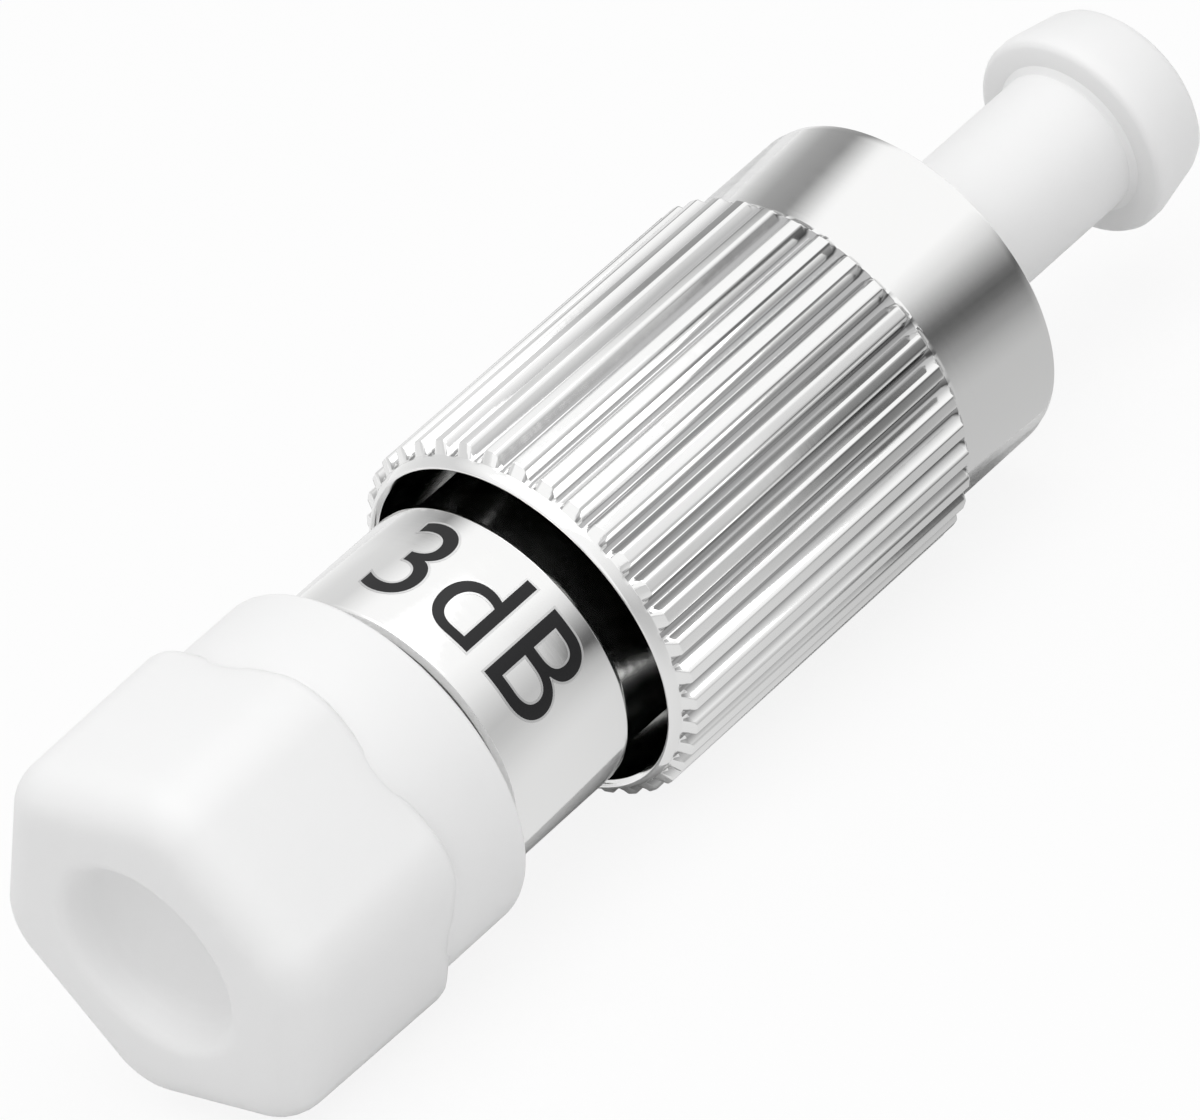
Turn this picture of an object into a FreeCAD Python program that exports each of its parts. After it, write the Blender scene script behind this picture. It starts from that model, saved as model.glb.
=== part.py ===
"""Fixed optical attenuator, male to female, with its two dust caps.

Lengths are in millimetres. Every station along the axis is measured from the front face of
the hexagonal dust cap, and the finished solids are then moved so that the object lies on the
coupling nut with its middle over the origin. The axis runs along +X, from the socket end with
the hexagonal cap to the plug end with the ferrule cap, and +Z is up.
"""

import FreeCAD
import Part
import math
import os

V = FreeCAD.Vector

# Hexagonal dust cap
hex_flat = 5.08
hex_corner_round = 1.69
hex_draft = 0.09
hex_length = 6.05
hex_front_round = 1.1
hex_rear_round = 0.45
skirt_r = 5.20
skirt_round = 0.35
dimple_r = 2.85
dimple_depth = 0.80
dimple_round = 0.35
cap_floor = 1.90

# Threaded socket barrel
socket_face = 2.10
thread_r = 4.00
collar_start = 8.75
collar_end = 13.92
collar_r = 4.40
collar_chamfer = 0.30
collar_step = 0.30
boss_r = collar_r - collar_step
boss_end = 16.40
undercut_r = 3.55
undercut_length = 0.60
plug_bore_r = 3.00
plug_bore_end = 7.20
keyway_width = 2.20
keyway_length = 3.20

# How far a cutting block or cylinder reaches past what it cuts
past = 1.00

# Split sleeve and its holder
sleeve_in_r = 1.265
sleeve_wall = 0.335
sleeve_length = 11.40
sleeve_slit = 0.40
holder_front = 4.85
holder_lip = 0.35
holder_tube_r = 2.20
holder_flange_r = 2.60
holder_flange_start = 7.60
holder_flange_end = 12.50
sleeve_float = 0.10

# Plug body
body_bore_r = 2.35
neck_r = 3.10
flange_start = 23.10
flange_end = 24.00
flange_r = 3.50
frame_r = 2.95
frame_end = 28.80
web_start = 22.80
web_end = 23.80
web_bore_r = 1.60
key_width = 2.10
key_end = 25.90

# Ferrule, its flange and its spring
ferrule_r = 1.25
ferrule_start = 10.95
ferrule_length = 22.40
ferrule_end = ferrule_start + ferrule_length
ferrule_chamfer = 0.40
fibre_r = 0.0625
ferrule_flange_r = 2.27
ferrule_flange_length = 1.60
spring_boss_r = 1.55
spring_boss_length = 0.80
seat_end = 17.55
seat_thick = 0.80
seat_r = 2.27
spring_wire_r = 0.15
spring_mean_r = 1.92
spring_turns = 5
spring_steps = 16
spring_sides = 8

# Coupling nut and its retaining ring
nut_rear = 14.54
nut_front = 30.41
nut_clearance = 0.45
nut_wall = 0.35
ridge_height = 0.35
nut_bore_r = collar_r + nut_clearance
knurl_root_r = nut_bore_r + nut_wall
knurl_r = knurl_root_r + ridge_height
knurl_count = 37
knurl_land = 0.42
knurl_valley = 0.16
knurl_start = 15.20
knurl_end = 26.16
rear_rim_step = 0.17
rear_rim_r = knurl_root_r - rear_rim_step
rear_cone_length = 0.32
ridge_ramp = 0.24
band_start = 26.60
band_step = 0.07
band_r = knurl_root_r - band_step
nut_bore_end = 21.40
nut_stop_r = 3.75
nut_thread_r = 3.60
nut_mouth = 0.55
nut_relief_r = 4.10
nut_relief_start = 23.35
nut_relief_end = 24.20
ring_start = 22.00
ring_thick = 0.80
ring_in_r = 3.20
ring_out_r = 4.20
ring_side_gap = 0.05
ring_gap = 1.80

# Ferrule dust cap
stopper_start = 29.00
stopper_r = 2.15
stopper_bore_r = 1.27
stopper_room = 2.65
stopper_floor = 1.33
stopper_rim = 0.54
stopper_taper = 1.88
stopper_bore_cone = 0.50
stopper_bore_end = ferrule_end + stopper_room
stopper_head = stopper_bore_end + stopper_floor
stopper_rim_end = stopper_head + stopper_rim
stopper_end = stopper_rim_end + stopper_taper
stopper_flange_r = 3.06
stopper_tip_r = 2.59

# Where the finished object lies: half its length behind the origin, on two ridges of the nut
half_pitch = math.pi / knurl_count
axis_height = knurl_r * math.cos(half_pitch - 0.5 * knurl_land / knurl_r)
PLACE = V(-stopper_end / 2, 0, axis_height)


def turned(points):
    """Solid of revolution about the axis from (station, radius) points."""
    wire = Part.makePolygon([V(x, 0, r) for x, r in points + points[:1]])
    return Part.Face(wire).revolve(V(0, 0, 0), V(1, 0, 0), 360)


def cylinder(r, start, end):
    """Solid cylinder on the axis between two stations."""
    return Part.makeCylinder(r, end - start, V(start, 0, 0), V(1, 0, 0))


def tube(r_in, r_out, start, end):
    """Plain ring on the axis between two stations."""
    return cylinder(r_out, start, end).cut(cylinder(r_in, start, end))


def slot_block(width, start, end, low, high):
    """Block standing over the axis, used for the keyway, the key and the slits."""
    return Part.makeBox(end - start, width, high - low, V(start, -width / 2, low))


def round_edges(solid, radius, wanted):
    """Round the edges that pass the given test."""
    edges = [e for e in solid.Edges if wanted(e)]
    return solid.makeFillet(radius, edges)


def on_rim(edge, station, r):
    """True for an edge that is a circle, or an arc of one, about the axis at this station."""
    near = [abs(p.x - station) < 0.01 and abs(math.hypot(p.y, p.z) - r) < 0.01 for p in edge.discretize(5)]
    return all(near)


def hexagon(flat, corner, station):
    """Hexagonal wire with rounded corners, one of its sides straight down."""
    inner = (flat - corner) / math.cos(math.pi / 6)
    edges = []
    for k in range(6):
        a = k * math.pi / 3
        b = a + math.pi / 3
        ca = V(station, inner * math.cos(a), inner * math.sin(a))
        cb = V(station, inner * math.cos(b), inner * math.sin(b))
        arc = [V(0, math.cos(a + d), math.sin(a + d)) * corner + ca for d in (-math.pi / 6, 0, math.pi / 6)]
        n = (a + b) / 2
        edges.append(Part.Arc(arc[0], arc[1], arc[2]).toShape())
        start = V(0, math.cos(n), math.sin(n)) * corner + cb
        edges.append(Part.LineSegment(arc[2], start).toShape())
    return Part.Wire(Part.__sortEdges__(edges))


def knurled_blank():
    """Outside of the nut's grip: straight ridges with flat tops and narrow valleys."""
    points = []
    half_land = 0.5 * knurl_land / knurl_r
    half_valley = 0.5 * knurl_valley / knurl_root_r
    for k in range(knurl_count):
        a = -math.pi / 2 + half_pitch + 2 * half_pitch * k
        b = a + half_pitch
        points.append((knurl_r, a - half_land))
        points.append((knurl_r, a + half_land))
        points.append((knurl_root_r, b - half_valley))
        points.append((knurl_root_r, b + half_valley))
    ring = [V(nut_rear, r * math.cos(a), r * math.sin(a)) for r, a in points]
    face = Part.Face(Part.makePolygon(ring + ring[:1]))
    return face.extrude(V(nut_front - nut_rear, 0, 0))


def dish_cutter():
    """Shallow bowl with a rounded rim, turned about the axis, that hollows the cap's front."""
    ball_r = (dimple_r ** 2 + dimple_depth ** 2) / (2 * dimple_depth)
    ball_x = dimple_depth - ball_r
    rim = dimple_round
    rim_r = math.sqrt((ball_r + rim) ** 2 - (rim - ball_x) ** 2)
    lean = math.atan2(rim_r, rim - ball_x)

    def on_ball(a):
        return V(ball_x + ball_r * math.cos(a), 0, ball_r * math.sin(a))

    def on_round(a):
        return V(rim - rim * math.cos(a), 0, rim_r - rim * math.sin(a))

    bowl = Part.Arc(on_ball(0), on_ball(lean / 2), on_ball(lean)).toShape()
    rounding = Part.Arc(on_ball(lean), on_round(lean / 2), on_round(0)).toShape()
    corners = [on_round(0), V(-1, 0, rim_r), V(-1, 0, 0), on_ball(0)]
    sides = [Part.LineSegment(p, q).toShape() for p, q in zip(corners, corners[1:])]
    wire = Part.Wire([bowl, rounding] + sides)
    return Part.Face(wire).revolve(V(0, 0, 0), V(1, 0, 0), 360)


def make_hex_dust_cap():
    """Moulded hexagonal cap with a dished front, a round skirt and a plain bore over the thread."""
    front = hexagon(hex_flat - hex_draft, hex_corner_round, 0)
    rear = hexagon(hex_flat, hex_corner_round, hex_length)
    block = Part.makeLoft([front, rear], True, True)
    block = round_edges(block, hex_front_round, lambda e: e.BoundBox.XMax < 0.01)
    block = round_edges(block, hex_rear_round, lambda e: e.BoundBox.XMin > hex_length - 0.01)
    skirt = cylinder(skirt_r, hex_length - 0.3, collar_start)
    skirt = round_edges(skirt, skirt_round, lambda e: on_rim(e, collar_start, skirt_r))
    cap = block.fuse(skirt)
    cap = cap.cut(dish_cutter())
    bore = turned([
        (cap_floor, 0), (cap_floor, thread_r - 0.25), (cap_floor + 0.3, thread_r + 0.05),
        (collar_start - 0.25, thread_r + 0.05), (collar_start, thread_r + 0.25), (collar_start, 0),
    ])
    return cap.cut(bore)


def make_jack_barrel():
    """Socket barrel: thread cylinder with a keyway, marked collar, and the boss behind the nut."""
    c = collar_chamfer
    outside = turned([
        (socket_face, 0), (socket_face, thread_r - 0.35), (socket_face + 0.35, thread_r),
        (collar_start - undercut_length - 0.3, thread_r), (collar_start - undercut_length, undercut_r),
        (collar_start, undercut_r), (collar_start, collar_r - c), (collar_start + c, collar_r),
        (collar_end - c, collar_r), (collar_end, collar_r - c), (collar_end, boss_r),
        (boss_end - 0.2, boss_r), (boss_end, boss_r - 0.2), (boss_end, 0),
    ])
    inside = turned([
        (socket_face, 0), (socket_face, plug_bore_r + 0.2), (socket_face + 0.2, plug_bore_r),
        (plug_bore_end, plug_bore_r), (plug_bore_end, holder_tube_r), (holder_flange_start, holder_tube_r),
        (holder_flange_start, holder_flange_r), (holder_flange_end, holder_flange_r),
        (holder_flange_end, plug_bore_r), (boss_end, plug_bore_r), (boss_end, 0),
    ])
    keyway = slot_block(keyway_width, socket_face - past, socket_face + keyway_length, 2.0, thread_r + past)
    return outside.cut(inside).cut(keyway)


def make_sleeve_holder():
    """Tube pressed into the barrel that cages the split sleeve, with a lip at its mouth."""
    sleeve_end = seat_end - seat_thick
    outside = turned([
        (holder_front, 0), (holder_front, holder_tube_r - 0.25), (holder_front + 0.25, holder_tube_r),
        (holder_flange_start, holder_tube_r), (holder_flange_start, holder_flange_r),
        (holder_flange_end, holder_flange_r), (holder_flange_end, holder_tube_r),
        (sleeve_end, holder_tube_r), (sleeve_end, 0),
    ])
    lip_end = holder_front + holder_lip
    room_r = sleeve_in_r + sleeve_wall + sleeve_float
    inside = turned([
        (holder_front, 0), (holder_front, sleeve_in_r + 0.35), (holder_front + 0.25, sleeve_in_r + 0.10),
        (lip_end, sleeve_in_r + 0.10), (lip_end, room_r), (sleeve_end, room_r), (sleeve_end, 0),
    ])
    return outside.cut(inside)


def make_split_sleeve():
    """Ceramic alignment sleeve with one slit along its whole length."""
    end = seat_end - seat_thick
    start = end - sleeve_length
    r_out = sleeve_in_r + sleeve_wall
    outside = turned([
        (start, 0), (start, r_out - 0.12), (start + 0.12, r_out), (end - 0.12, r_out),
        (end, r_out - 0.12), (end, 0),
    ])
    inside = turned([
        (start, 0), (start, sleeve_in_r + 0.10), (start + 0.10, sleeve_in_r),
        (end - 0.10, sleeve_in_r), (end, sleeve_in_r + 0.10), (end, 0),
    ])
    slit = slot_block(sleeve_slit, start - past, end + past, sleeve_in_r / 2, r_out + past)
    return outside.cut(inside).cut(slit)


def make_spring_seat():
    """Washer that closes the holder and carries the rear end of the spring."""
    seat = tube(ferrule_r + 0.05, seat_r, seat_end - seat_thick, seat_end)
    return seat


def make_plug_body():
    """Plug frame: tail pressed into the barrel, neck for the nut, flange, key and front tube."""
    outside = turned([
        (holder_flange_end, 0), (holder_flange_end, plug_bore_r - 0.2),
        (holder_flange_end + 0.2, plug_bore_r), (boss_end, plug_bore_r),
        (boss_end, neck_r), (flange_start, neck_r), (flange_start, flange_r - 0.1),
        (flange_start + 0.1, flange_r), (flange_end - 0.15, flange_r), (flange_end, flange_r - 0.15),
        (flange_end, frame_r), (frame_end - 0.3, frame_r), (frame_end, frame_r - 0.3), (frame_end, 0),
    ])
    key = slot_block(key_width, flange_end - 0.2, key_end, frame_r - 0.4, flange_r + 1)
    key = key.common(turned([
        (flange_end - 0.3, 0), (flange_end - 0.3, flange_r), (key_end - 0.4, flange_r),
        (key_end, flange_r - 0.3), (key_end, 0),
    ]))
    inside = turned([
        (holder_flange_end, 0), (holder_flange_end, body_bore_r), (web_start, body_bore_r),
        (web_start, web_bore_r), (web_end, web_bore_r), (web_end, body_bore_r),
        (frame_end - 0.2, body_bore_r), (frame_end, body_bore_r + 0.2), (frame_end, 0),
    ])
    return outside.fuse(key).cut(inside).removeSplitter()


def make_ferrule():
    """Long ceramic ferrule: its rear end stops half way into the sleeve, its tip leads the plug."""
    c = ferrule_chamfer
    blank = turned([
        (ferrule_start, 0), (ferrule_start, ferrule_r - 0.20), (ferrule_start + c, ferrule_r),
        (ferrule_end - c, ferrule_r), (ferrule_end, ferrule_r - 0.20), (ferrule_end, 0),
    ])
    return blank.cut(cylinder(fibre_r, ferrule_start - past, ferrule_end + past))


def make_attenuating_fibre():
    """Doped fibre cemented in the ferrule's hole and polished flush at both ends."""
    return cylinder(fibre_r, ferrule_start, ferrule_end)


def make_ferrule_flange():
    """Metal collar pressed on the ferrule; its front rests on the web, its boss centres the spring."""
    start = web_start - ferrule_flange_length
    outside = turned([
        (start - spring_boss_length, 0), (start - spring_boss_length, spring_boss_r - 0.1),
        (start - spring_boss_length + 0.1, spring_boss_r), (start, spring_boss_r),
        (start, ferrule_flange_r), (web_start - 0.2, ferrule_flange_r),
        (web_start, ferrule_flange_r - 0.2), (web_start, 0),
    ])
    flange = outside.cut(cylinder(ferrule_r, start - spring_boss_length - past, web_start + past))
    for side in (-1, 1):
        notch = Part.makeBox(1.0, 0.7, 0.5, V(web_start - 1.0, -0.35, 1.85 if side > 0 else -2.35))
        flange = flange.cut(notch)
    return flange


def make_ferrule_spring():
    """Coil spring between the seat and the ferrule flange, which keeps the ferrule forward."""
    start = seat_end + spring_wire_r
    end = web_start - ferrule_flange_length - spring_wire_r
    rise = (end - start) / spring_turns
    slope = math.atan2(rise, 2 * math.pi * spring_mean_r)
    rings = []
    for k in range(spring_turns * spring_steps + 1):
        a = 2 * math.pi * k / spring_steps
        out = V(0, math.cos(a), math.sin(a))
        side = V(math.cos(slope), math.sin(slope) * math.sin(a), -math.sin(slope) * math.cos(a))
        centre = V(start + rise * k / spring_steps, 0, 0) + out * spring_mean_r
        turn = [2 * math.pi * i / spring_sides for i in range(spring_sides)]
        rings.append([centre + (out * math.cos(t) + side * math.sin(t)) * spring_wire_r for t in turn])
    faces = [Part.Face(Part.makePolygon(r + r[:1])) for r in (rings[0], rings[-1])]
    for low, high in zip(rings, rings[1:]):
        for i in range(spring_sides):
            j = (i + 1) % spring_sides
            for corners in ((low[i], low[j], high[j]), (low[i], high[j], high[i])):
                faces.append(Part.Face(Part.makePolygon(list(corners) + [corners[0]])))
    shell = Part.makeShell(faces)
    shell.sewShape()
    wire = Part.Solid(shell)
    return wire if wire.Volume > 0 else wire.reversed()


def make_nut_retaining_ring():
    """Open spring ring in the nut's groove; it slides on the neck and stops at the flange."""
    ring = tube(ring_in_r, ring_out_r, ring_start, ring_start + ring_thick)
    gap = slot_block(ring_gap, ring_start - past, ring_start + ring_thick + past, ring_in_r / 2, ring_out_r + past)
    return ring.cut(gap)


def make_coupling_nut():
    """Coupling nut: knurled grip, smooth front band, deep rear bore, ring groove and thread bore."""
    outside = turned([
        (nut_rear, 0), (nut_rear, rear_rim_r), (nut_rear + rear_cone_length, knurl_root_r - 0.02),
        (knurl_start - ridge_ramp, knurl_root_r - 0.02), (knurl_start, knurl_r + 0.02),
        (knurl_end, knurl_r + 0.02), (knurl_end + ridge_ramp, knurl_root_r), (band_start, band_r),
        (nut_front - 0.37, band_r), (nut_front - 0.15, band_r - 0.05), (nut_front, band_r - 0.23), (nut_front, 0),
    ])
    groove_start = ring_start - ring_side_gap
    groove_end = ring_start + ring_thick + ring_side_gap
    inside = turned([
        (nut_rear, 0), (nut_rear, nut_bore_r + 0.12), (nut_rear + 0.15, nut_bore_r),
        (nut_bore_end, nut_bore_r), (nut_bore_end, nut_stop_r), (groove_start, nut_stop_r),
        (groove_start, ring_out_r + 0.05), (groove_end, ring_out_r + 0.05), (groove_end, nut_thread_r),
        (nut_relief_start, nut_thread_r), (nut_relief_start + 0.2, nut_relief_r),
        (nut_relief_end - 0.2, nut_relief_r), (nut_relief_end, nut_thread_r),
        (nut_front - nut_mouth, nut_thread_r), (nut_front, nut_thread_r + nut_mouth), (nut_front, 0),
    ])
    return outside.common(knurled_blank()).cut(inside)


def make_ferrule_dust_cap():
    """Moulded stopper: a round stem with a blind bore for the ferrule and a tapered head."""
    outside = turned([
        (stopper_start, 0), (stopper_start, stopper_r - 0.15), (stopper_start + 0.15, stopper_r),
        (stopper_head, stopper_r), (stopper_head, stopper_flange_r), (stopper_rim_end, stopper_flange_r),
        (stopper_end, stopper_tip_r), (stopper_end, 0),
    ])
    outside = round_edges(outside, 0.25, lambda e: on_rim(e, stopper_end, stopper_tip_r))
    outside = round_edges(outside, 0.20, lambda e: on_rim(e, stopper_head, stopper_flange_r))
    bore = turned([
        (stopper_start, 0), (stopper_start, stopper_bore_r + 0.25), (stopper_start + 0.35, stopper_bore_r),
        (stopper_bore_end - stopper_bore_cone, stopper_bore_r), (stopper_bore_end, 0.6), (stopper_bore_end, 0),
    ])
    return outside.cut(bore)


NODES = {
    "hex_dust_cap": make_hex_dust_cap,
    "jack_barrel": make_jack_barrel,
    "sleeve_holder": make_sleeve_holder,
    "split_sleeve": make_split_sleeve,
    "spring_seat": make_spring_seat,
    "plug_body": make_plug_body,
    "ferrule": make_ferrule,
    "attenuating_fibre": make_attenuating_fibre,
    "ferrule_flange": make_ferrule_flange,
    "ferrule_spring": make_ferrule_spring,
    "nut_retaining_ring": make_nut_retaining_ring,
    "coupling_nut": make_coupling_nut,
    "ferrule_dust_cap": make_ferrule_dust_cap,
}

os.makedirs("parts", exist_ok=True)
for node, make in NODES.items():
    shape = make()
    shape.translate(PLACE)
    solid = shape.Solids[0] if len(shape.Solids) == 1 else shape
    box = solid.BoundBox
    print(node, len(shape.Solids), solid.isValid(), round(solid.Volume, 2),
          [round(v, 3) for v in (box.XMin, box.XMax, box.YMin, box.YMax, box.ZMin, box.ZMax)])
    solid.exportStep("parts/" + node + ".step")
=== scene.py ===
import math

import bpy
from mathutils import Matrix, Vector


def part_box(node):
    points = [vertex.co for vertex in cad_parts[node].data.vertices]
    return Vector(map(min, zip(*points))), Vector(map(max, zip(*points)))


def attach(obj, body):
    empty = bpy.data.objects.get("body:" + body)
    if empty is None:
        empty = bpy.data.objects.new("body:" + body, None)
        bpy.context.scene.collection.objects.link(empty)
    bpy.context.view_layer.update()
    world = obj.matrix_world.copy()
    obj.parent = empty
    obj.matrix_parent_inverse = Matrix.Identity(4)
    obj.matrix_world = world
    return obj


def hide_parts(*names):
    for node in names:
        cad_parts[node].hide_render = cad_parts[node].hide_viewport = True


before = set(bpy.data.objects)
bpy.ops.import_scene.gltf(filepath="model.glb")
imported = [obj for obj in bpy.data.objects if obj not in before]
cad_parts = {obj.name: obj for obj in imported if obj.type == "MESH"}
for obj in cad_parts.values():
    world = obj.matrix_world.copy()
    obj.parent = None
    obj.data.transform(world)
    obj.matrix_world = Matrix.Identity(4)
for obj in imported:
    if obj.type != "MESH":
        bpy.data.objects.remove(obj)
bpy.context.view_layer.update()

# Socket barrel
# A turned brass barrel with a bright nickel plate: the threaded socket under the hexagonal cap, the
# collar with the attenuation value cut into it, and the boss that the coupling nut slides over.
OVERALL = 39.75
HALF = OVERALL / 2
barrel_low, barrel_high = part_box("jack_barrel")
AXIS = 500 * (barrel_low.z + barrel_high.z)

# Sizes of pieces are in mm, with stations counted from the front of the hexagonal cap and radii from the
# axis, which lies AXIS above the table.
SOCKET_FACE = 2.10
SOCKET_FLOOR = 7.20
SOCKET_BORE = 3.00
MOUTH_CHAMFER = 0.20
THREAD_START = 2.45
THREAD_END = 7.55
THREAD_CREST = 3.995
THREAD_ROOT = 3.62
THREAD_PITCH = 0.75
THREAD_LAND = 0.09
THREAD_FLANK = 0.24
UNDERCUT_START = 8.10
UNDERCUT_R = 3.60
COLLAR_START = 9.28
COLLAR_END = 13.92
COLLAR_R = 4.40
COLLAR_CHAMFER = 0.16
BOSS_END = 16.40
BOSS_R = 4.06
HOLDER_START = 7.60
HOLDER_END = 12.50
HOLDER_TUBE_R = 2.20
HOLDER_FLANGE_R = 2.60
KEYWAY_WIDE = 2.20
KEYWAY_LONG = 3.20
KEYWAY_LOW = 2.00
KEYWAY_HIGH = 5.00
PAST = 1.00
BARREL_SIDES = 240
SMOOTH_BELOW = math.radians(35)


def station(x):
    """Place along the axis, in metres, of a station in mm from the front of the hexagonal cap."""
    return (x - HALF) / 1000


def bearing(v):
    """Angle of a vertex round the axis, before its piece is reduced."""
    return math.atan2(v.co.z - AXIS, v.co.y)


def deselect():
    """Nothing selected, and no edit mode left open."""
    if bpy.context.object and bpy.context.object.mode != "OBJECT":
        bpy.ops.object.mode_set(mode="OBJECT")
    bpy.ops.object.select_all(action="DESELECT")


def choose(piece):
    """Only this piece selected and active."""
    deselect()
    piece.select_set(True)
    bpy.context.view_layer.objects.active = piece


def thread_rings(start, stop, crest, root):
    """Outline of the thread from one station towards another, as rings without the rise of the helix."""
    way = 1 if stop > start else -1
    points = []
    x = start
    while (stop - x) * way > 0:
        land = x + way * THREAD_LAND
        foot = land + way * THREAD_FLANK
        points += [(x, crest), (land, crest), (foot, root), (foot + way * THREAD_LAND, root)]
        x += way * THREAD_PITCH
    return points


def turned(name, outline, sides):
    """A body turned about the axis: a circle extruded from point to point of a closed outline.

    The points are (station, radius) in mm. The body is a thousand times its size until reduce().
    """
    deselect()
    first_x, first_r = outline[0]
    bpy.ops.mesh.primitive_circle_add(vertices=sides, radius=first_r, location=(first_x - HALF, 0, AXIS),
                                      rotation=(0, math.pi / 2, 0))
    piece = bpy.context.object
    piece.name = piece.data.name = name
    bpy.ops.object.transform_apply(location=True, rotation=True, scale=True)
    bpy.ops.object.mode_set(mode="EDIT")
    bpy.ops.mesh.select_all(action="SELECT")
    for (xa, ra), (xb, rb) in zip(outline, outline[1:] + outline[:1]):
        bpy.ops.mesh.extrude_edges_move(TRANSFORM_OT_translate={"value": (xb - xa, 0, 0)})
        bpy.ops.transform.resize(value=(1, rb / ra, rb / ra), center_override=(xb - HALF, 0, AXIS))
    bpy.ops.mesh.select_all(action="SELECT")
    bpy.ops.mesh.remove_doubles(threshold=1e-4)
    bpy.ops.mesh.normals_make_consistent(inside=False)
    bpy.ops.object.mode_set(mode="OBJECT")
    return piece


def soften(piece, width, segments=2, angle=25):
    """A small rounding on the edges sharper than an angle, and smooth shading between them."""
    choose(piece)
    rounding = piece.modifiers.new("rounding", "BEVEL")
    rounding.width = width
    rounding.segments = segments
    rounding.limit_method = "ANGLE"
    rounding.angle_limit = math.radians(angle)
    rounding.harden_normals = False
    bpy.ops.object.modifier_apply(modifier=rounding.name)
    bpy.ops.object.shade_smooth_by_angle(angle=SMOOTH_BELOW)


def reduce(piece):
    """From mm to metres, with the size in the mesh."""
    choose(piece)
    piece.scale = (0.001, 0.001, 0.001)
    bpy.ops.object.transform_apply(location=True, rotation=True, scale=True)


def coat(piece, material):
    """This material alone on a piece."""
    piece.data.materials.clear()
    piece.data.materials.append(material)


def surface(name, sockets):
    """A material with these values on its shader's sockets."""
    m = bpy.data.materials.new(name)
    m.use_nodes = True
    shader = m.node_tree.nodes["Principled BSDF"]
    for socket, value in sockets.items():
        shader.inputs[socket].default_value = value
    return m


def fine_marks():
    """Faint turning marks round the axis, with clouds over them: a value for roughness, and a normal."""
    group = bpy.data.node_groups.new("fine marks", "ShaderNodeTree")
    face = group.interface
    for name, usual in (("Low", 0.06), ("High", 0.14), ("Depth", 0.02)):
        face.new_socket(name, in_out="INPUT", socket_type="NodeSocketFloat").default_value = usual
    face.new_socket("Roughness", in_out="OUTPUT", socket_type="NodeSocketFloat")
    face.new_socket("Normal", in_out="OUTPUT", socket_type="NodeSocketVector")
    nodes = group.nodes
    link = group.links.new
    given = nodes.new("NodeGroupInput")
    result = nodes.new("NodeGroupOutput")
    coord = nodes.new("ShaderNodeTexCoord")
    stretch = nodes.new("ShaderNodeMapping")
    stretch.inputs["Scale"].default_value = (6, 1, 1)
    marks = nodes.new("ShaderNodeTexNoise")
    marks.inputs["Scale"].default_value = 900
    marks.inputs["Detail"].default_value = 4
    clouds = nodes.new("ShaderNodeTexNoise")
    clouds.inputs["Scale"].default_value = 260
    blend = nodes.new("ShaderNodeMath")
    blend.operation = "MULTIPLY"
    span = nodes.new("ShaderNodeMapRange")
    span.inputs["From Min"].default_value = 0.15
    span.inputs["From Max"].default_value = 0.40
    bump = nodes.new("ShaderNodeBump")
    bump.inputs["Distance"].default_value = 0.00002
    link(coord.outputs["Object"], stretch.inputs["Vector"])
    link(stretch.outputs["Vector"], marks.inputs["Vector"])
    link(coord.outputs["Object"], clouds.inputs["Vector"])
    link(marks.outputs["Fac"], blend.inputs[0])
    link(clouds.outputs["Fac"], blend.inputs[1])
    link(blend.outputs["Value"], span.inputs["Value"])
    link(given.outputs["Low"], span.inputs["To Min"])
    link(given.outputs["High"], span.inputs["To Max"])
    link(marks.outputs["Fac"], bump.inputs["Height"])
    link(given.outputs["Depth"], bump.inputs["Strength"])
    link(span.outputs["Result"], result.inputs["Roughness"])
    link(bump.outputs["Normal"], result.inputs["Normal"])
    return group


FINE_MARKS = fine_marks()


def metal(name, colour, low, high, depth):
    """A plated or drawn metal: its roughness wanders between two values, under marks of some depth."""
    m = surface(name, {"Base Color": (*colour, 1), "Metallic": 1})
    nodes = m.node_tree.nodes
    link = m.node_tree.links.new
    marks = nodes.new("ShaderNodeGroup")
    marks.node_tree = FINE_MARKS
    for socket, value in (("Low", low), ("High", high), ("Depth", depth)):
        marks.inputs[socket].default_value = value
    link(marks.outputs["Roughness"], nodes["Principled BSDF"].inputs["Roughness"])
    link(marks.outputs["Normal"], nodes["Principled BSDF"].inputs["Normal"])
    return m


NICKEL = (0.94, 0.94, 0.935)
nickel = metal("bright nickel plate", NICKEL, low=0.07, high=0.13, depth=0.05)

barrel_outline = (
    [(SOCKET_FACE, SOCKET_BORE + MOUTH_CHAMFER), (SOCKET_FACE, 3.65), (SOCKET_FACE + MOUTH_CHAMFER, 3.85)]
    + thread_rings(THREAD_START, THREAD_END, THREAD_CREST, THREAD_ROOT)
    + [(UNDERCUT_START, UNDERCUT_R), (COLLAR_START, UNDERCUT_R),
       (COLLAR_START, COLLAR_R - COLLAR_CHAMFER), (COLLAR_START + COLLAR_CHAMFER, COLLAR_R),
       (COLLAR_END - 0.27, COLLAR_R), (COLLAR_END, COLLAR_R - 0.24), (COLLAR_END, BOSS_R),
       (BOSS_END - 0.20, BOSS_R), (BOSS_END, BOSS_R - 0.16), (BOSS_END, SOCKET_BORE),
       (HOLDER_END, SOCKET_BORE), (HOLDER_END, HOLDER_FLANGE_R), (HOLDER_START, HOLDER_FLANGE_R),
       (HOLDER_START, HOLDER_TUBE_R), (SOCKET_FLOOR, HOLDER_TUBE_R), (SOCKET_FLOOR, SOCKET_BORE),
       (SOCKET_FACE + MOUTH_CHAMFER, SOCKET_BORE)]
)
barrel = turned("socket_barrel", barrel_outline, BARREL_SIDES)
soften(barrel, 0.035)

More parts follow.
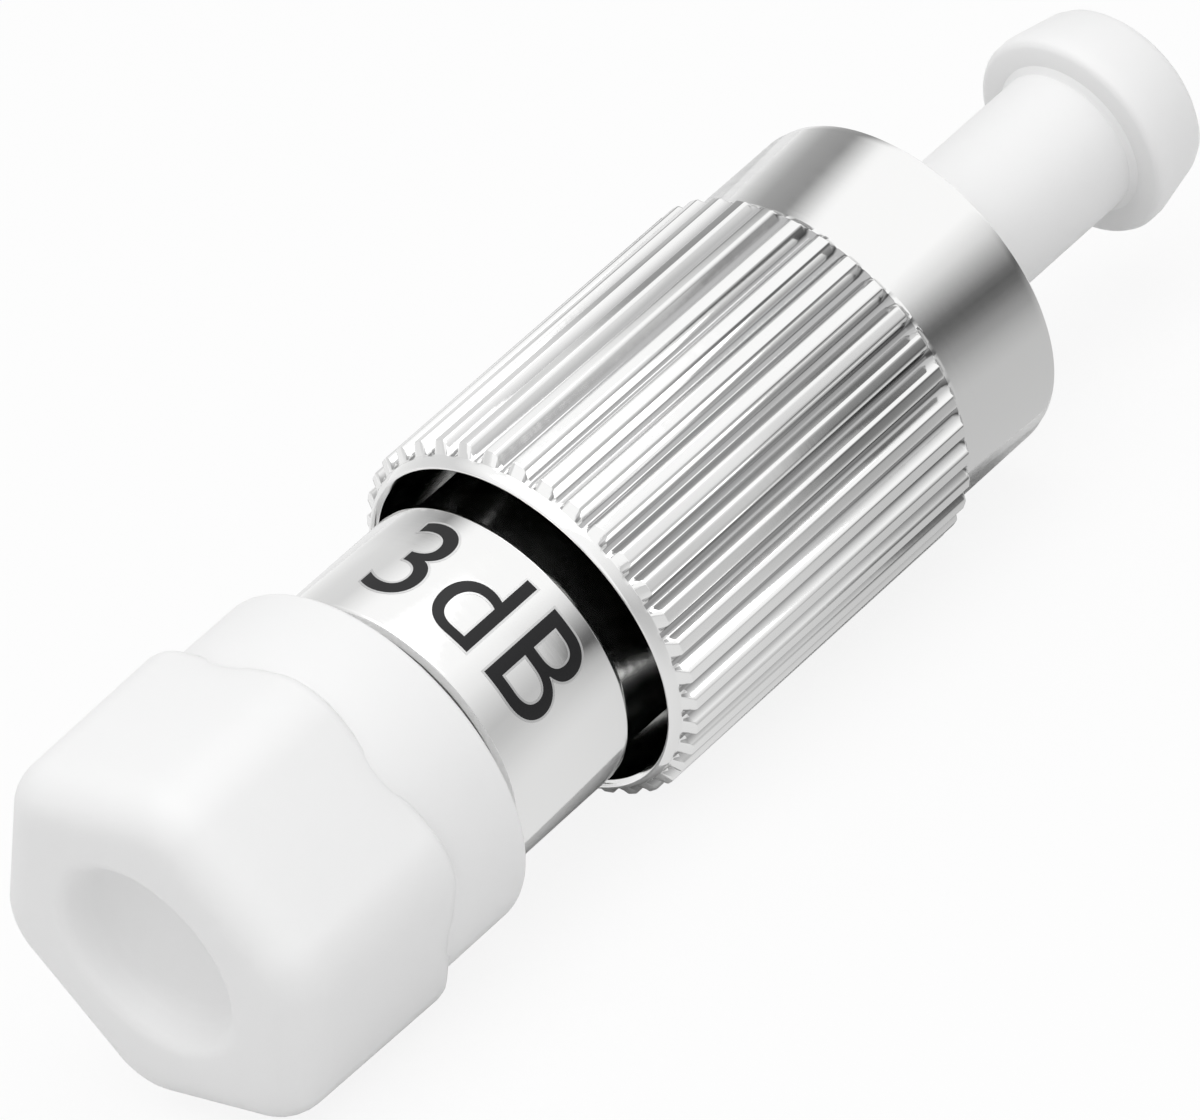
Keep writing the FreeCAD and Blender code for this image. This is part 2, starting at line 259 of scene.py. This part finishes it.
# The keyway is cut through the wall of the socket with a block that reaches past its face.
deselect()
slot_long = PAST + KEYWAY_LONG
bpy.ops.mesh.primitive_cube_add(size=1, location=(SOCKET_FACE - PAST + slot_long / 2 - HALF, 0,
                                                  AXIS + (KEYWAY_LOW + KEYWAY_HIGH) / 2))
slot_tool = bpy.context.object
slot_tool.scale = (slot_long, KEYWAY_WIDE, KEYWAY_HIGH - KEYWAY_LOW)
bpy.ops.object.transform_apply(location=True, rotation=True, scale=True)
keyway = barrel.modifiers.new("keyway", "BOOLEAN")
keyway.operation = "DIFFERENCE"
keyway.solver = "EXACT"
keyway.object = slot_tool
choose(barrel)
bpy.ops.object.modifier_apply(modifier=keyway.name)
bpy.data.objects.remove(slot_tool)
bpy.ops.object.shade_smooth_by_angle(angle=SMOOTH_BELOW)
coat(barrel, nickel)
reduce(barrel)
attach(barrel, "barrel")
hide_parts("jack_barrel")

# Marking
# The attenuation value is cut into the collar and filled with black: the filling lies flush, and the narrow
# chamfer that the cutter leaves round each letter catches the light.
WORD_WIDE = 6.30
WORD_TALL = 2.86
WORD_FOOT = 10.33
WORD_START = math.radians(1)
STRIP = 0.1

ink = surface("black filling of the marking", {
    "Base Color": (0.010, 0.010, 0.011, 1),
    "Roughness": 0.30,
    "Specular IOR Level": 0.3,
})
lip = metal("cut edge of the marking", (0.72, 0.72, 0.72), low=0.25, high=0.40, depth=0.10)


def set_word(bolder):
    """The word set flat, as a skin, with its strokes widened by this much on each side."""
    deselect()
    bpy.ops.object.text_add()
    word = bpy.context.object
    word.data.body = "3dB"
    word.data.size = 1.0
    word.data.space_character = 1.04
    word.data.resolution_u = 12
    word.data.offset = bolder
    bpy.ops.object.convert(target="MESH")
    return bpy.context.object


plain_word = set_word(0)
xs = [v.co.x for v in plain_word.data.vertices]
ys = [v.co.y for v in plain_word.data.vertices]
bpy.data.objects.remove(plain_word)
type_left = min(xs)
type_foot = min(ys)
wider = WORD_WIDE / (max(xs) - type_left)
taller = WORD_TALL / (max(ys) - type_foot)


def lettering(name, bolder, lift, material):
    """The word cut into narrow strips and wrapped round the collar, a little above it."""
    skin = set_word(bolder)
    skin.name = skin.data.name = name
    for v in skin.data.vertices:
        v.co.x = (v.co.x - type_left) * wider
        v.co.y = (v.co.y - type_foot) * taller
    bpy.ops.object.mode_set(mode="EDIT")
    cut = -2 * STRIP
    while cut < WORD_WIDE + 2 * STRIP:
        bpy.ops.mesh.select_all(action="SELECT")
        bpy.ops.mesh.bisect(plane_co=(cut, 0, 0), plane_no=(1, 0, 0))
        cut += STRIP
    bpy.ops.object.mode_set(mode="OBJECT")
    out = COLLAR_R + lift
    for v in skin.data.vertices:
        around = WORD_START + v.co.x / COLLAR_R
        v.co = Vector((WORD_FOOT + v.co.y - HALF, -out * math.sin(around), AXIS + out * math.cos(around)))
    coat(skin, material)
    bpy.ops.object.shade_smooth()
    reduce(skin)
    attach(skin, "barrel")


lettering("marking_chamfer", bolder=0.013, lift=0.003, material=lip)
lettering("marking_filling", bolder=-0.003, lift=0.006, material=ink)

# Coupling nut
# Turned brass with the same plate: straight ridges cut along the grip, a smooth band at the front, a deep
# rear bore that passes over the collar, a groove for its retaining ring, and the thread inside its mouth.
NUT_REAR = 14.54
NUT_FRONT = 30.41
NUT_BORE = 4.85
NUT_BORE_END = 21.40
RIDGE_START = 15.04
RIDGE_END = 26.16
RIDGE_R = 5.55
RIDGE_FLOOR_R = 5.19
GRIP_R = 5.10
RIDGES = 37
RIDGE_STEPS = 12
RIDGE_PITCH = 2 * math.pi / RIDGES
BAND_START = 26.60
BAND_R = 5.13
STOP_R = 3.75
RING_GROOVE_START = 21.95
RING_GROOVE_END = 22.85
RING_GROOVE_R = 4.25
RELIEF_START = 23.35
RELIEF_END = 24.20
RELIEF_R = 4.10
NUT_THREAD_START = 29.70
NUT_THREAD_END = 24.60
NUT_THREAD_CREST = 3.60
NUT_THREAD_ROOT = 3.98

nut_outline = (
    [(NUT_REAR, 4.97), (NUT_REAR, 5.03), (NUT_REAR + 0.22, 5.17), (NUT_REAR + 0.32, 5.18),
     (RIDGE_START, RIDGE_R), (RIDGE_END, RIDGE_R), (RIDGE_END + 0.24, 5.22), (BAND_START, BAND_R),
     (NUT_FRONT - 0.37, BAND_R), (NUT_FRONT - 0.15, BAND_R - 0.05), (NUT_FRONT, BAND_R - 0.23),
     (NUT_FRONT, 4.15), (NUT_FRONT - 0.55, 3.62)]
    + thread_rings(NUT_THREAD_START, NUT_THREAD_END, NUT_THREAD_CREST, NUT_THREAD_ROOT)
    + [(RELIEF_END, RELIEF_R), (RELIEF_START, RELIEF_R), (RELIEF_START, NUT_THREAD_CREST),
       (RING_GROOVE_END, NUT_THREAD_CREST), (RING_GROOVE_END, RING_GROOVE_R),
       (RING_GROOVE_START, RING_GROOVE_R), (RING_GROOVE_START, STOP_R), (NUT_BORE_END, STOP_R),
       (NUT_BORE_END, NUT_BORE), (NUT_REAR + 0.15, NUT_BORE)]
)
nut = turned("coupling_nut_turned", nut_outline, RIDGES * RIDGE_STEPS)

# The grooves: how low the surface lies at so many steps from the middle of a ridge. The ridges stand half a
# pitch from straight down and two steps further round.
groove_levels = {3: 5.47, 4: 5.27, 5: RIDGE_FLOOR_R, 6: RIDGE_FLOOR_R}
first_ridge = 0.5 + 2 / RIDGE_STEPS
choose(nut)
for level, low_r in groove_levels.items():
    bpy.ops.object.mode_set(mode="EDIT")
    bpy.ops.mesh.select_all(action="DESELECT")
    bpy.ops.mesh.select_mode(type="VERT")
    bpy.ops.object.mode_set(mode="OBJECT")
    for v in nut.data.vertices:
        ridge = (bearing(v) + math.pi / 2) / RIDGE_PITCH - first_ridge
        away = abs(ridge - round(ridge)) * RIDGE_STEPS
        outside = math.hypot(v.co.y, v.co.z - AXIS) > RIDGE_R - 0.05
        v.select = outside and abs(away - level) < 0.3
    bpy.ops.object.mode_set(mode="EDIT")
    bpy.ops.transform.resize(value=(1, low_r / RIDGE_R, low_r / RIDGE_R), center_override=(0, 0, AXIS))
    bpy.ops.object.mode_set(mode="OBJECT")
soften(nut, 0.03, angle=40)
reduce(nut)

# The ridged plate is a little duller, and painted shade darkens its colour towards the floor of each groove.
ridge_plate_painted_shade = metal("ridge plate with painted groove shade", NICKEL, low=0.08, high=0.15, depth=0.06)
nodes = ridge_plate_painted_shade.node_tree.nodes
link = ridge_plate_painted_shade.node_tree.links.new
coord = nodes.new("ShaderNodeTexCoord")
off_axis = nodes.new("ShaderNodeVectorMath")
off_axis.operation = "MULTIPLY_ADD"
off_axis.inputs[1].default_value = (0, 1, 1)
off_axis.inputs[2].default_value = (0, 0, -AXIS / 1000)
radius = nodes.new("ShaderNodeVectorMath")
radius.operation = "LENGTH"
height = nodes.new("ShaderNodeMapRange")
height.interpolation_type = "SMOOTHSTEP"
height.inputs["From Min"].default_value = RIDGE_FLOOR_R / 1000
height.inputs["From Max"].default_value = (RIDGE_R - 0.02) / 1000
shade = nodes.new("ShaderNodeMix")
shade.data_type = "RGBA"
# Painted shade: the colour falls to this grey at the floor of a groove, in place of real shadow.
shade.inputs["A"].default_value = (0.48, 0.48, 0.48, 1)
shade.inputs["B"].default_value = (*NICKEL, 1)
link(coord.outputs["Object"], off_axis.inputs[0])
link(off_axis.outputs["Vector"], radius.inputs[0])
link(radius.outputs["Value"], height.inputs["Value"])
link(height.outputs["Result"], shade.inputs["Factor"])
link(shade.outputs["Result"], nodes["Principled BSDF"].inputs["Base Color"])

coat(nut, nickel)
nut.data.materials.append(ridge_plate_painted_shade)
# The faces of the grip take the plate with the painted groove shade.
for face in nut.data.polygons:
    centre = face.center
    on_grip = station(RIDGE_START - 0.09) < centre.x < station(RIDGE_END + 0.19)
    if on_grip and math.hypot(centre.y, centre.z - AXIS / 1000) > GRIP_R / 1000:
        face.material_index = 1
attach(nut, "nut")
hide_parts("coupling_nut")

# Hexagonal dust cap
# One soft white moulding that is pushed over the socket thread by hand. Its hexagonal front has rounded
# edges and a bowl in the middle, and behind it a round skirt with a plain bore covers the thread.
HEX_LONG = 6.05
HEX_FLAT = 5.18
HEX_DRAFT = 0.982
HEX_CORNER = 1.90
HEX_FRONT_ROUND = 1.20
HEX_REAR_ROUND = 0.40
BOWL_R = 3.12
BOWL_LIP = 0.5
BOWL_LIP_STEP = math.radians(8.5)
BOWL_LIP_STEPS = 7
CAP_BORE = 4.05
CAP_FLOOR = 1.90
SKIRT_START = 5.55
SKIRT_END = 8.75
SKIRT_R = 5.20
CLOSE = 0.01


def soft_white():
    """A soft translucent moulding with a faint grain."""
    m = surface("soft white moulding", {
        "Base Color": (0.82, 0.82, 0.82, 1),
        "Roughness": 0.5,
        "Subsurface Weight": 0.18,
        "Subsurface Radius": (1.0, 1.0, 1.0),
        "Subsurface Scale": 0.0008,
    })
    nodes = m.node_tree.nodes
    link = m.node_tree.links.new
    coord = nodes.new("ShaderNodeTexCoord")
    grain = nodes.new("ShaderNodeTexNoise")
    grain.inputs["Scale"].default_value = 2600
    grain.inputs["Detail"].default_value = 3
    bump = nodes.new("ShaderNodeBump")
    bump.inputs["Distance"].default_value = 0.00003
    bump.inputs["Strength"].default_value = 0.12
    link(coord.outputs["Object"], grain.inputs["Vector"])
    link(grain.outputs["Fac"], bump.inputs["Height"])
    link(bump.outputs["Normal"], nodes["Principled BSDF"].inputs["Normal"])
    return m


def pick_edges(piece, wanted):
    """Only the edges whose two ends, as stations, pass the test are selected, in edit mode."""
    bpy.ops.object.mode_set(mode="EDIT")
    bpy.ops.mesh.select_mode(type="EDGE")
    bpy.ops.mesh.select_all(action="DESELECT")
    bpy.ops.object.mode_set(mode="OBJECT")
    for e in piece.data.edges:
        p, q = (piece.data.vertices[i].co for i in e.vertices)
        e.select = wanted(p.x + HALF, q.x + HALF)
    bpy.ops.object.mode_set(mode="EDIT")


def pick_face(piece, x, side):
    """Only the flat face at this station that looks this way is selected, in edit mode."""
    bpy.ops.object.mode_set(mode="EDIT")
    bpy.ops.mesh.select_mode(type="FACE")
    bpy.ops.mesh.select_all(action="DESELECT")
    bpy.ops.object.mode_set(mode="OBJECT")
    for f in piece.data.polygons:
        f.select = abs(f.center.x + HALF - x) < 1e-3 and f.normal.x * side > 0.99
    bpy.ops.object.mode_set(mode="EDIT")


def sink(piece, x, side, first_r, outline):
    """A round hollow in the flat face at a station.

    An inset face is made a true circle of the first radius and pushed in along (station, radius) points.
    """
    pick_face(piece, x, side)
    bpy.ops.mesh.inset(thickness=0.12)
    bpy.ops.object.mode_set(mode="OBJECT")
    ring = sorted((v for v in piece.data.vertices if v.select), key=bearing)
    step = 2 * math.pi / len(ring)
    start = sum(bearing(v) - i * step for i, v in enumerate(ring)) / len(ring)
    for i, v in enumerate(ring):
        v.co.y = first_r * math.cos(start + i * step)
        v.co.z = AXIS + first_r * math.sin(start + i * step)
    bpy.ops.object.mode_set(mode="EDIT")
    last_x = x
    last_r = first_r
    for next_x, next_r in outline:
        bpy.ops.mesh.extrude_region_move(TRANSFORM_OT_translate={"value": (next_x - last_x, 0, 0)})
        bpy.ops.transform.resize(value=(1, next_r / last_r, next_r / last_r), center_override=(0, 0, AXIS))
        last_x = next_x
        last_r = next_r


deselect()
bpy.ops.mesh.primitive_circle_add(vertices=6, radius=HEX_FLAT / math.cos(math.pi / 6), fill_type="NGON",
                                  location=(HEX_LONG - HALF, 0, AXIS), rotation=(0, math.pi / 2, 0))
block = bpy.context.object
block.name = block.data.name = "hexagonal_cap_block"
bpy.ops.object.transform_apply(location=True, rotation=True, scale=True)
bpy.ops.object.mode_set(mode="EDIT")
bpy.ops.mesh.select_all(action="SELECT")
bpy.ops.mesh.extrude_region_move(TRANSFORM_OT_translate={"value": (-HEX_LONG, 0, 0)})
bpy.ops.transform.resize(value=(1, HEX_DRAFT, HEX_DRAFT), center_override=(0, 0, AXIS))
bpy.ops.mesh.select_all(action="SELECT")
bpy.ops.mesh.normals_make_consistent(inside=False)

pick_edges(block, lambda p, q: abs(p - q) > 1)
bpy.ops.mesh.bevel(offset=HEX_CORNER * math.tan(math.pi / 6), segments=8, affect="EDGES", clamp_overlap=False)
pick_edges(block, lambda p, q: max(p, q) < CLOSE)
bpy.ops.mesh.bevel(offset=HEX_FRONT_ROUND, segments=8, affect="EDGES", clamp_overlap=False)
pick_edges(block, lambda p, q: min(p, q) > HEX_LONG - CLOSE)
bpy.ops.mesh.bevel(offset=HEX_REAR_ROUND, segments=4, affect="EDGES", clamp_overlap=False)

bowl_outline = []
for i in range(1, BOWL_LIP_STEPS + 1):
    a = i * BOWL_LIP_STEP
    bowl_outline.append((BOWL_LIP * (1 - math.cos(a)), BOWL_R - BOWL_LIP * math.sin(a)))
bowl_outline += [(0.70, 2.48), (0.95, 2.36), (1.14, 2.12), (1.25, 1.70), (1.30, 1.10), (1.31, 0.40)]
sink(block, 0.0, -1, BOWL_R, bowl_outline)
sink(block, HEX_LONG, 1, CAP_BORE, [(CAP_FLOOR + 0.30, CAP_BORE), (CAP_FLOOR, CAP_BORE - 0.30)])
bpy.ops.object.mode_set(mode="OBJECT")
bpy.ops.object.shade_smooth_by_angle(angle=math.radians(40))

skirt_outline = [(SKIRT_START, CAP_BORE), (SKIRT_START, SKIRT_R), (SKIRT_END, SKIRT_R),
                 (SKIRT_END, CAP_BORE + 0.20), (SKIRT_END - 0.25, CAP_BORE)]
skirt = turned("cap_skirt", skirt_outline, 180)
soften(skirt, 0.22, segments=5)
white = soft_white()
for piece in (block, skirt):
    reduce(piece)
    coat(piece, white)
    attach(piece, "hex_cap")
    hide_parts("hex_dust_cap")

# Ferrule dust cap
# The same soft plastic in one moulding: a round stem with a blind bore that grips the ferrule, and a tapered
# head to pull it by. It is pushed over the ferrule's tip and reaches into the nut.
STEM_START = 29.00
STEM_R = 2.15
HEAD_START = 37.33
HEAD_END = OVERALL
HEAD_R = 3.06
STEM_BORE = 1.27
STEM_BORE_END = 36.00
PINHOLE = 0.02

# A ring can't be drawn in to nothing, so the outline stays a pinhole's radius away from the axis.
stopper_outline = [
    (STEM_START, STEM_BORE + 0.25), (STEM_START, STEM_R - 0.15), (STEM_START + 0.15, STEM_R),
    (HEAD_START - 0.15, STEM_R), (HEAD_START, 2.32), (HEAD_START, 2.86), (HEAD_START + 0.08, 3.00),
    (HEAD_START + 0.20, HEAD_R), (HEAD_START + 0.54, HEAD_R), (39.30, 2.78), (39.52, 2.68), (39.68, 2.50),
    (HEAD_END, 2.25), (HEAD_END, PINHOLE), (STEM_BORE_END, PINHOLE), (STEM_BORE_END, 0.60),
    (STEM_BORE_END - 0.50, STEM_BORE), (STEM_START + 0.35, STEM_BORE),
]
stopper = turned("ferrule_stopper", stopper_outline, 160)
choose(stopper)
bpy.ops.object.shade_smooth_by_angle(angle=SMOOTH_BELOW)
reduce(stopper)
coat(stopper, white)
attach(stopper, "ferrule_cap")
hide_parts("ferrule_dust_cap")

# Inner metal pieces
# What the caps and the nut hide. The plug body, sleeve holder, spring seat and ferrule flange are turned
# and nickel plated. The ferrule's spring and the nut's retaining ring are drawn spring steel.
steel = metal("drawn spring steel", (0.62, 0.62, 0.62), low=0.18, high=0.30, depth=0.08)
for name in ("plug_body", "sleeve_holder", "spring_seat", "ferrule_flange"):
    coat(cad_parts[name], nickel)
for name in ("ferrule_spring", "nut_retaining_ring"):
    coat(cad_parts[name], steel)

# Ferrule, sleeve and fibre
# The ferrule and the split sleeve that grips it are ground from zirconia, which is dense, white and glossy.
# The doped glass fibre is cemented into the ferrule's hole and polished flush at both ends.
zirconia = surface("ground zirconia", {
    "Base Color": (0.87, 0.86, 0.82, 1),
    "Roughness": 0.12,
    "Coat Weight": 0.4,
})
glass = surface("doped glass fibre", {"Base Color": (0.25, 0.30, 0.33, 1), "Roughness": 0.05})
for name in ("ferrule", "split_sleeve"):
    coat(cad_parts[name], zirconia)
coat(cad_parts["attenuating_fibre"], glass)

# Table and light
# A pale table in an even white room, with one soft lamp above. Three grey boards are there only for
# reflections: the bright metal shows them, as it would show the dark parts of a real room.
deselect()
bpy.ops.mesh.primitive_plane_add(size=6, location=(0, 0, 0))
table = bpy.context.object
table.name = "table"
pale = surface("pale table", {
    "Base Color": (0.78, 0.78, 0.78, 1),
    "Roughness": 0.9,
    "Specular IOR Level": 0,
})
nodes = pale.node_tree.nodes
link = pale.node_tree.links.new
glow = nodes.new("ShaderNodeEmission")
rays = nodes.new("ShaderNodeLightPath")
share = nodes.new("ShaderNodeMath")
share.operation = "MULTIPLY"
share.inputs[1].default_value = 0.88
mix = nodes.new("ShaderNodeMixShader")
link(rays.outputs["Is Camera Ray"], share.inputs[0])
link(share.outputs["Value"], mix.inputs["Fac"])
link(nodes["Principled BSDF"].outputs["BSDF"], mix.inputs[1])
link(glow.outputs["Emission"], mix.inputs[2])
link(mix.outputs["Shader"], nodes["Material Output"].inputs["Surface"])
table.data.materials.append(pale)


def board(name, size, place, turn, greys, skew, clear_x, full_x, clear_share):
    """A plain board that shows only in reflections.

    Its grey follows the (place across, grey) stops, and it fades along the object's length: the share of the
    grey grows from clear_share at clear_x to the whole at full_x, read on a slanting line when skew is set.
    """
    deselect()
    bpy.ops.mesh.primitive_plane_add(size=1)
    piece = bpy.context.object
    piece.name = name
    piece.scale = (size[0], size[1], 1)
    bpy.ops.object.transform_apply(location=False, rotation=False, scale=True)
    piece.location = place
    piece.rotation_euler = (turn, 0, 0)
    piece.visible_camera = piece.visible_shadow = piece.visible_diffuse = False
    m = bpy.data.materials.new(name)
    m.use_nodes = True
    nodes = m.node_tree.nodes
    link = m.node_tree.links.new
    nodes.remove(nodes["Principled BSDF"])
    coord = nodes.new("ShaderNodeTexCoord")
    parts = nodes.new("ShaderNodeSeparateXYZ")
    across = nodes.new("ShaderNodeMapRange")
    across.inputs["From Min"].default_value = -size[1] / 2
    across.inputs["From Max"].default_value = size[1] / 2
    ramp = nodes.new("ShaderNodeValToRGB")
    stops = ramp.color_ramp.elements
    for i, (position, grey) in enumerate(greys):
        stop = stops[i] if i < 2 else stops.new(position)
        stop.position = position
        stop.color = (grey, grey, grey, 1)
    slant = nodes.new("ShaderNodeVectorMath")
    slant.operation = "DOT_PRODUCT"
    slant.inputs[1].default_value = (1, skew, 0)
    share = nodes.new("ShaderNodeMapRange")
    share.interpolation_type = "SMOOTHSTEP"
    share.inputs["From Min"].default_value = clear_x
    share.inputs["From Max"].default_value = full_x
    share.inputs["To Min"].default_value = clear_share
    tint = nodes.new("ShaderNodeMix")
    tint.data_type = "RGBA"
    tint.inputs["A"].default_value = (1, 1, 1, 1)
    glow = nodes.new("ShaderNodeEmission")
    link(coord.outputs["Object"], parts.inputs["Vector"])
    link(parts.outputs["Y"], across.inputs["Value"])
    link(across.outputs["Result"], ramp.inputs["Fac"])
    link(coord.outputs["Object"], slant.inputs[0])
    link(slant.outputs["Value"], share.inputs["Value"])
    link(share.outputs["Result"], tint.inputs["Factor"])
    link(ramp.outputs["Color"], tint.inputs["B"])
    link(tint.outputs["Result"], glow.inputs["Color"])
    link(glow.outputs["Emission"], nodes["Material Output"].inputs["Surface"])
    piece.data.materials.append(m)


board("low_board", size=(0.30, 0.097), place=(0.05, -0.0515, 0.0004), turn=0,
      greys=[(0.0, 0.13), (0.34, 0.11), (0.66, 0.14), (0.77, 0.20), (0.87, 0.33), (0.91, 0.45), (0.94, 0.54),
             (1.0, 0.56)],
      skew=0.602, clear_x=-0.031, full_x=-0.014, clear_share=0.52)
board("near_board", size=(0.30, 0.10), place=(0.05, -0.10, 0.05), turn=math.pi / 2,
      greys=[(0.0, 0.13), (0.06, 0.15), (0.14, 0.24), (0.32, 0.46), (0.52, 0.72), (0.75, 0.88), (1.0, 1.0)],
      skew=0, clear_x=0.002, full_x=0.018, clear_share=0.55)
board("far_board", size=(0.30, 0.130), place=(0.05, 0.070, 0.049), turn=math.radians(-58),
      greys=[(0.0, 1.0), (0.09, 0.93), (0.23, 0.60), (0.35, 0.28), (0.58, 0.36), (0.82, 0.66), (1.0, 1.0)],
      skew=0, clear_x=-0.010, full_x=0.007, clear_share=0.42)

room = bpy.data.worlds.new("white room")
bpy.context.scene.world = room
room.use_nodes = True
nodes = room.node_tree.nodes
link = room.node_tree.links.new
lighting = nodes["Background"]
lighting.inputs["Color"].default_value = (1, 1, 1, 1)
lighting.inputs["Strength"].default_value = 0.68
seen = nodes.new("ShaderNodeBackground")
seen.inputs["Color"].default_value = (1, 1, 1, 1)
seen.inputs["Strength"].default_value = 1.0
rays = nodes.new("ShaderNodeLightPath")
camera_or_gloss = nodes.new("ShaderNodeMath")
camera_or_gloss.operation = "MAXIMUM"
any_of_three = nodes.new("ShaderNodeMath")
any_of_three.operation = "MAXIMUM"
mix = nodes.new("ShaderNodeMixShader")
link(rays.outputs["Is Camera Ray"], camera_or_gloss.inputs[0])
link(rays.outputs["Is Glossy Ray"], camera_or_gloss.inputs[1])
link(camera_or_gloss.outputs["Value"], any_of_three.inputs[0])
link(rays.outputs["Is Transmission Ray"], any_of_three.inputs[1])
link(any_of_three.outputs["Value"], mix.inputs["Fac"])
link(lighting.outputs["Background"], mix.inputs[1])
link(seen.outputs["Background"], mix.inputs[2])
link(mix.outputs["Shader"], nodes["World Output"].inputs["Surface"])

lamp = bpy.data.objects.new("soft lamp above", bpy.data.lights.new("soft lamp above", "AREA"))
bpy.context.scene.collection.objects.link(lamp)
lamp.data.shape = "RECTANGLE"
lamp.data.size = 0.5
lamp.data.size_y = 0.4
lamp.data.energy = 1.1
lamp.location = (-0.05, -0.09, 0.42)
lamp.rotation_euler = (-lamp.location).to_track_quat("-Z", "Y").to_euler()

# Camera
# A long lens at the photograph's angle, which looks down on the side and the front of the hexagonal cap.
# It is rolled, because the photograph shows the object aslant while the object lies level on the table.
AZIMUTH = math.radians(-50.21)
ELEVATION = math.radians(47.82)
LEAN = math.radians(25)
ASIDE = 0.01140
ABOVE = 0.01005
AWAY = 0.30014
right = Vector((math.cos(AZIMUTH), math.sin(AZIMUTH), 0))
behind = Vector((
    math.sin(AZIMUTH) * math.cos(ELEVATION),
    -math.cos(AZIMUTH) * math.cos(ELEVATION),
    math.sin(ELEVATION),
))
up = behind.cross(right)
about_axis = Matrix.Rotation(LEAN, 3, "X")
right, up, behind = (about_axis @ way for way in (right, up, behind))
front_of_cap = Vector((station(0), 0, AXIS / 1000))
camera = bpy.data.objects.new("camera", bpy.data.cameras.new("camera"))
bpy.context.scene.collection.objects.link(camera)
camera.data.lens = 360
camera.data.sensor_width = 36
camera.data.sensor_fit = "HORIZONTAL"
camera.data.clip_start = 0.01
camera.location = front_of_cap + right * ASIDE + up * ABOVE + behind * AWAY
camera.rotation_euler = Matrix((right, up, behind)).transposed().to_euler()
bpy.context.scene.camera = camera

bpy.context.scene.view_settings.view_transform = "Standard"
